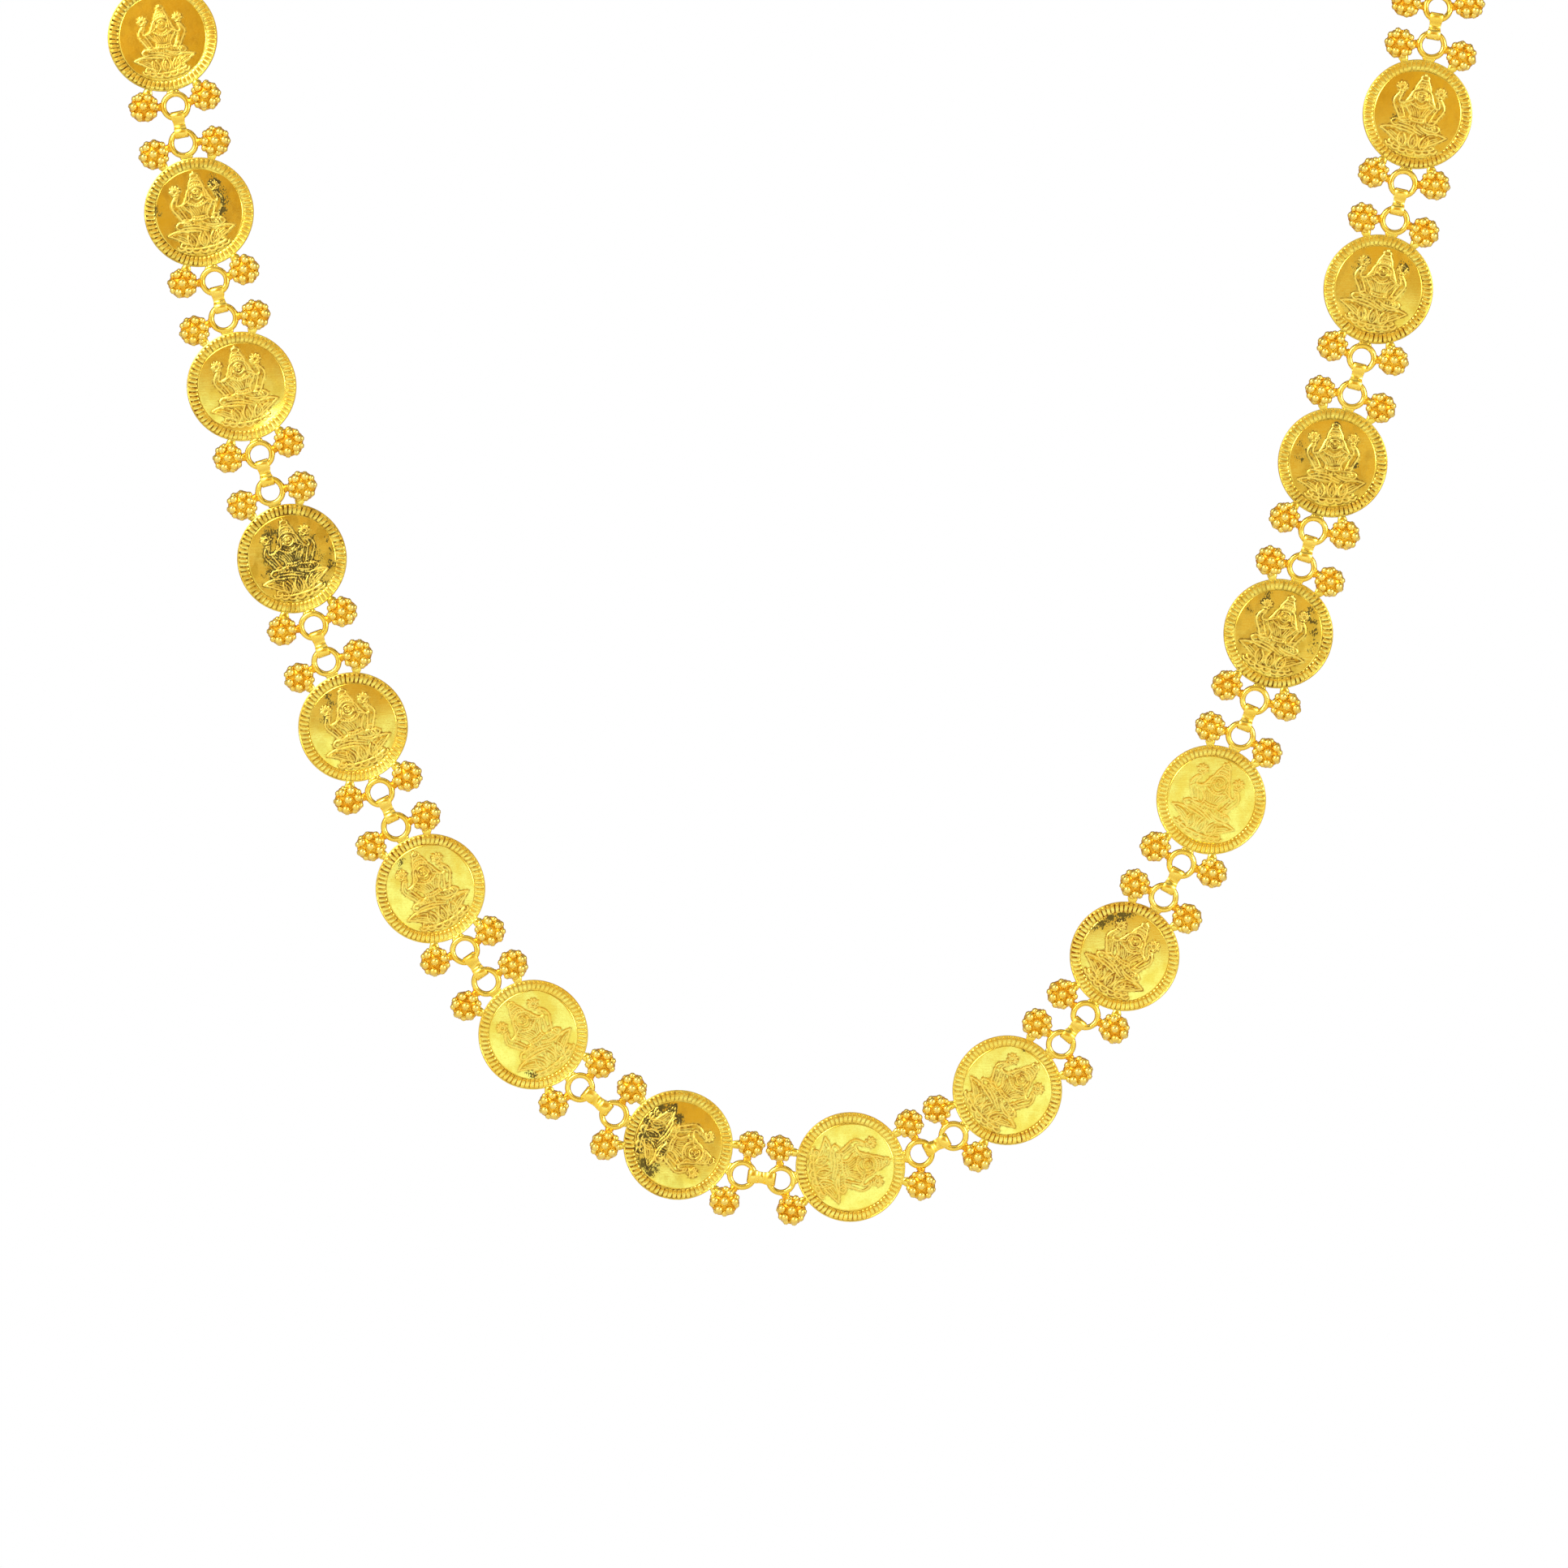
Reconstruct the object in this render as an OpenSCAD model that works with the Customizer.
// A long gold necklace of struck coins, each soldered between two rings and four
// granulated flowers, joined ring to ring by folded ribbon straps and closed by a hook.
// Front is -Y. The origin is in the middle of the neck hollow, level with the back of the loop.

/* [Loop] */
// Number of coins in the whole loop
coin_count = 28; // [20:2:34]
// Place along the row of coins where the loop hangs lowest, counted in coins
lowest_at = 15.71; // [14:0.01:17]
// Growth of the chain's slope from one coin to the next
slope_step = 0.661; // [0.4:0.001:1]
// Coins from the lowest point to where the chain turns towards the back
turn_at = 7.7; // [6.5:0.05:10]
// Half of the whole loop, counted in coins
half_loop = 14.1; // [13:0.05:16]
// Lean of the back arc out of the hanging plane, in degrees
back_lean = 72; // [40:1:85]
// Coins from the lowest point to where the lean starts
lean_from = 7.2; // [7:0.1:9]
// Coins from the lowest point to where the lean is full
lean_to = 11.8; // [10:0.1:14]
// Height of the origin above the lowest point of the chain
drop = 184; // [120:1:220]
// Distance of the origin behind the hanging plane
set_back = 32; // [10:1:60]

/* [Coin] */
// Diameter of a coin
coin_d = 13.4; // [10:0.1:20]
// Thickness of a coin in its field
field_t = 0.36; // [0.25:0.01:0.8]
// Thickness of a coin at its raised rim
rim_t = 0.56; // [0.4:0.01:1]
// Inner radius of the raised rim
rim_r = 5.45; // [4:0.05:6.2]
// Height of the struck figure above the field
relief = 0.11; // [0.05:0.01:0.2]

/* [Rings] */
// Distance from a coin's centre to a ring's centre
ring_at = 8.7; // [8:0.01:10]
// Radius of a ring to the middle of its wire
ring_r = 1.51; // [1:0.01:2.5]
// Thickness of the ring wire
wire_d = 0.74; // [0.4:0.01:1]

/* [Flowers] */
// Distance of a flower's centre along the chain from the coin's centre
flower_along = 8.12; // [7:0.01:10]
// Distance of a flower's centre to the side of the chain
flower_aside = 3.86; // [3:0.01:5]
// Diameter of a flower over its lowest grains
flower_d = 3.64; // [2.5:0.02:5]
// Diameter of a grain
grain_d = 0.9; // [0.4:0.02:1.4]
// Radius of the ring of six grains
six_r = 1.16; // [0.8:0.01:1.6]

/* [Straps] */
// Distance between the centres of the two rings that a strap joins
strap_span = 4.7; // [4.2:0.01:7]
// Extra length of the longer strap before the coin nearest the lowest point
long_extra = 0.7; // [0:0.05:1.5]
// Extra length of the strap after that coin
near_extra = 0.15; // [0:0.05:1.5]
// Width of a strap at its ends
strap_w = 1.4; // [1:0.02:2]
// Width of a strap in its waist
waist_w = 1.08; // [0.7:0.02:1.6]
// Thickness of the ribbon
ribbon_t = 0.22; // [0.15:0.01:0.5]
// Gap between a strap and the ring wire in it, along the strap
eye_gap = 0.08; // [0.05:0.01:0.2]
// The same gap in front of the wire and behind it
eye_play = 0.13; // [0.05:0.01:0.3]

/* [Clasp] */
// Thickness of the hook's wire
hook_wire = 0.9; // [0.6:0.02:1.4]
// Radius of the hook's two bends to the middle of the wire
hook_r = 1.15; // [0.9:0.01:1.4]

/* [Hidden] */
function coin_name(k) = str(k < 10 ? "coin_0" : "coin_", k);
$fn = 48;
coin_r = coin_d / 2;
middle_coin = coin_count / 2;
gold = [0.94, 0.72, 0.2];
deep_gold = [0.9, 0.62, 0.12];

// Slope of the chain n coins from the lowest point: it hangs freely, then turns round evenly.
turn_slope = atan(slope_step * turn_at);
turn_rate = (180 - turn_slope) / (half_loop - turn_at);
function climb(n) = let (m = abs(n))
    sign(n) * (m < turn_at ? atan(slope_step * m) : turn_slope + turn_rate * (m - turn_at));
function ease(t) = let (c = min(1, max(0, t))) c * c * (3 - 2 * c);
function lean(n) = let (m = min(abs(n), 2 * half_loop - abs(n)))
    back_lean * ease((m - lean_from) / (lean_to - lean_from));
function heading(n) = let (t = climb(n), b = lean(n)) [cos(t), sin(t) * sin(b), sin(t) * cos(b)];
function facing(n) = let (b = lean(n)) [0, -cos(b), sin(b)];

// Centres of the coins, walked outwards from the lowest point.
function span_after(k) = strap_span + (k == middle_coin ? long_extra : k == middle_coin + 1 ? near_extra : 0);
function step_after(k) = heading(k - lowest_at) * ring_at
    + heading(k + 0.5 - lowest_at) * span_after(k)
    + heading(k + 1 - lowest_at) * ring_at;
low_coin = ceil(lowest_at);
low_part = low_coin - lowest_at;
low_place = heading(low_part / 2) * low_part * (2 * ring_at + strap_span) - [0, set_back, drop];
function centre(k) = k == low_coin ? low_place
    : k > low_coin ? centre(k - 1) + step_after(k - 1)
    : centre(k + 1) - step_after(k);

// Ring centres at the two ends of coin k, and the wire points that the straps hold.
function ring_before(k) = centre(k) - heading(k - lowest_at) * ring_at;
function ring_after(k) = centre(k) + heading(k - lowest_at) * ring_at;
function unit(v) = v / norm(v);
function flat(v, n) = unit(v - (v * n) * n);
function wire_point(ring, towards, n) = ring + ring_r * flat(towards - ring, n);

// Stands a shape's own X axis along x_axis and its Z axis as near to up as it can be.
module stand(place, x_axis, up) {
    x = unit(x_axis);
    z = flat(up, x);
    y = cross(z, x);
    multmatrix([
        [x[0], y[0], z[0], place[0]],
        [x[1], y[1], z[1], place[1]],
        [x[2], y[2], z[2], place[2]],
        [0, 0, 0, 1],
    ]) children();
}

// Outlines of the struck figure.
function leaf(length, width, lift = 0, n = 4) = concat(
    [for (i = [0:n]) let (t = i / n) [length * t, width / 2 * sin(180 * t) * (1.3 - 0.6 * t) + lift * t * t]],
    [for (i = [n - 1:-1:1]) let (t = i / n) [length * t, -width / 2 * sin(180 * t) * (1.3 - 0.6 * t) + lift * t * t]]
);
module bar(a, b, width) {
    d = b - a;
    translate(a) rotate([0, 0, atan2(d[1], d[0])]) {
        translate([0, -width / 2]) square([norm(d), width]);
        circle(d = width, $fn = 6);
    }
    translate(b) circle(d = width, $fn = 6);
}

// Flower seat: petals spread from one point, the two outer ones long and curling up.
module seat() {
    for (side = [-1, 1]) mirror([side < 0 ? 1 : 0, 0]) {
        translate([0.2, -3.9]) rotate([0, 0, 12]) polygon(leaf(4.3, 1.3, 0.8));
        translate([0.2, -3.9]) rotate([0, 0, 42]) polygon(leaf(2.7, 1));
    }
    translate([0, -4.1]) rotate([0, 0, 90]) polygon(leaf(2.1, 1.2));
    for (i = [-2:2]) translate([1.05 * i, -4.55 + 0.04 * i * i]) circle(r = 0.5, $fn = 8);
}

// Crossed legs, body, crown and four arms, the upper two holding up blossoms.
module seated_body() {
    polygon([
        for (i = [0:9]) let (a = i * 36) [2.7 * cos(a) - 0.1, 0.62 * sin(a) * (1 + 0.2 * cos(2 * a)) - 1.7],
    ]);
    polygon([[-0.95, -1.5], [1.05, -1.5], [0.95, -0.4], [1.55, 1.1], [0.6, 1.6], [-0.4, 1.6], [-1.5, 1.1], [-0.8, -0.4]]);
    polygon([[-0.75, 2.6], [0.95, 2.6], [0.8, 3.4], [0.3, 4.6], [0.1, 5.0], [-0.12, 4.6], [-0.6, 3.4]]);
    for (side = [-1, 1]) mirror([side < 0 ? 1 : 0, 0]) {
        bar([1.3, 1.0], [2.6, 1.2], 0.5);
        bar([2.6, 1.2], [2.4, 2.5], 0.42);
        translate([2.4, 3.1]) circle(r = 0.58, $fn = 8);
        bar([1.4, 0.8], [2.2, -0.5], 0.46);
        bar([2.2, -0.5], [1.45, -0.8], 0.42);
    }
}

module figure() {
    linear_extrude(field_t / 2 + relief) union() {
        seat();
        seated_body();
    }
    translate([0.1, 2.15, 0]) cylinder(h = field_t / 2 + relief + 0.05, r = 0.66);
}

// Coin with a raised rim, plain at the back.
module coin_blank() {
    f = field_t / 2;
    r = rim_t / 2;
    rotate_extrude($fn = 96) polygon([
        [0, -f], [rim_r - 0.1, -f], [rim_r + 0.08, -r], [coin_r - 0.12, -r], [coin_r, 0.1 - r],
        [coin_r, r - 0.1], [coin_r - 0.12, r], [rim_r + 0.08, r], [rim_r - 0.1, f], [0, f],
    ]);
}

module wire_ring() rotate_extrude($fn = 64) translate([ring_r, 0]) circle(d = wire_d, $fn = 24);

// Flower: a scalloped plate, a grain on top of a boss and six grains round it.
module flower() {
    outer = flower_d / 2;
    inner = six_r + grain_d / 2 + 0.02;
    translate([0, 0, -0.25]) linear_extrude(0.5) polygon([
        for (i = [0:19]) (i % 2 == 0 ? outer : inner + 0.04) * [cos(18 * i), sin(18 * i)],
    ]);
    translate([0, 0, -0.32]) cylinder(h = 0.82, r = inner);
    cylinder(h = 0.85, r = 0.62);
    translate([0, 0, 1]) sphere(d = grain_d, $fn = 24);
    for (i = [0:5]) rotate([0, 0, 60 * i]) translate([six_r, 0, 0.62]) sphere(d = grain_d, $fn = 24);
}

// Solder runs from the coin's edge to the ring and from each flower to both.
module solder() {
    translate([coin_r - 0.35, -0.67, -0.2]) cube([0.75, 1.34, 0.4]);
    for (side = [-1, 1]) mirror([0, side < 0 ? 1 : 0, 0]) {
        rotate([0, 0, 25.6]) translate([coin_r - 0.3, -0.45, -0.2]) cube([1.2, 0.9, 0.4]);
        translate([flower_along + 0.25, 1.6, -0.2]) cube([0.6, 1, 0.4]);
    }
}

module coin_unit(figure_turn) {
    coin_blank();
    rotate([0, 0, figure_turn]) figure();
    for (end = [-1, 1]) mirror([end < 0 ? 1 : 0, 0, 0]) {
        translate([ring_at, 0, 0]) wire_ring();
        for (side = [-1, 1]) translate([flower_along, side * flower_aside, 0]) flower();
        solder();
    }
}

// Heads point away from the middle of the row on both sides, none quite straight, one well turned.
function figure_turn(k) = k <= middle_coin ? 87 : k == 21 ? -78 : -90;

module coin(k) color(gold) stand(centre(k), heading(k - lowest_at), facing(k - lowest_at))
    coin_unit(figure_turn(k));

// Strap folded round both wires, which lie reach apart: two eyes with a pinched middle.
module strap(reach) {
    half = reach / 2;
    eye = wire_d / 2 + eye_gap;
    deep = wire_d / 2 + eye_play;
    inside = ring_r - wire_d / 2;
    sag = inside - sqrt(inside * inside - strap_w * strap_w / 4);
    end = half + sag + eye + ribbon_t;
    thick = deep + ribbon_t;
    bend = thick * 0.55;
    intersection() {
        rotate([90, 0, 0]) translate([0, 0, -strap_w]) linear_extrude(2 * strap_w) difference() {
            polygon([
                for (side = [1, -1]) each [
                    side * [end, bend - thick], side * [end, thick - bend], side * [end - bend / 2, thick - bend / 4],
                    side * [end - bend, thick], side * [half - 0.2, thick], side * [0, thick - 0.2],
                ],
            ]);
            for (side = [-1, 1]) polygon([
                for (p = [[half - eye, -0.6 * deep], [half - 0.6 * eye, -deep], [half + sag + 0.6 * eye, -deep],
                    [half + sag + eye, -0.6 * deep], [half + sag + eye, 0.6 * deep], [half + sag + 0.6 * eye, deep],
                    [half - 0.6 * eye, deep], [half - eye, 0.6 * deep]]) [side * p[0], p[1]],
            ]);
        }
        linear_extrude(4 * thick, center = true) polygon([
            for (side = [1, -1]) each [
                side * [end, -strap_w / 2], side * [end, strap_w / 2], side * [half, strap_w / 2],
                side * [0.25, waist_w / 2], side * [-0.25, waist_w / 2],
            ],
        ]);
    }
}

module strap_after(k) {
    a = ring_after(k);
    b = ring_before(k + 1);
    wa = wire_point(a, b, facing(k - lowest_at));
    wb = wire_point(b, a, facing(k + 1 - lowest_at));
    stand((wa + wb) / 2, wb - wa, facing(k - lowest_at) + facing(k + 1 - lowest_at)) strap(norm(wb - wa));
}

module straps_left() color(deep_gold) for (k = [1:low_coin - 1]) strap_after(k);

module straps_right() color(deep_gold) for (k = [low_coin:coin_count - 1]) strap_after(k);

// Plain S-shaped hook of round wire through the two end rings.
module hook(reach) {
    tilt = asin(2 * hook_r / reach);
    for (side = [0, 180]) rotate([0, side, 0]) translate([reach / 2, 0, 0]) {
        rotate([90, 0, 0]) {
            rotate_extrude(start = 270 - tilt, angle = 240, $fn = 64)
                translate([hook_r, 0]) circle(d = hook_wire, $fn = 48);
            rotate([0, 0, 150 - tilt]) translate([hook_r, 0, 0]) sphere(d = hook_wire * 1.25, $fn = 32);
        }
    }
    rotate([0, 90 + tilt, 0]) cylinder(h = reach * cos(tilt) + 0.4, d = hook_wire + 0.12, center = true, $fn = 48);
}

module hook_clasp() color(gold) {
    a = ring_after(coin_count);
    b = ring_before(1);
    wa = wire_point(a, b, facing(coin_count - lowest_at));
    wb = wire_point(b, a, facing(1 - lowest_at));
    stand((wa + wb) / 2, wb - wa, facing(coin_count + 0.5 - lowest_at)) hook(norm(wb - wa));
}

for (k = [1:coin_count]) coin(k);
straps_left();
straps_right();
hook_clasp();
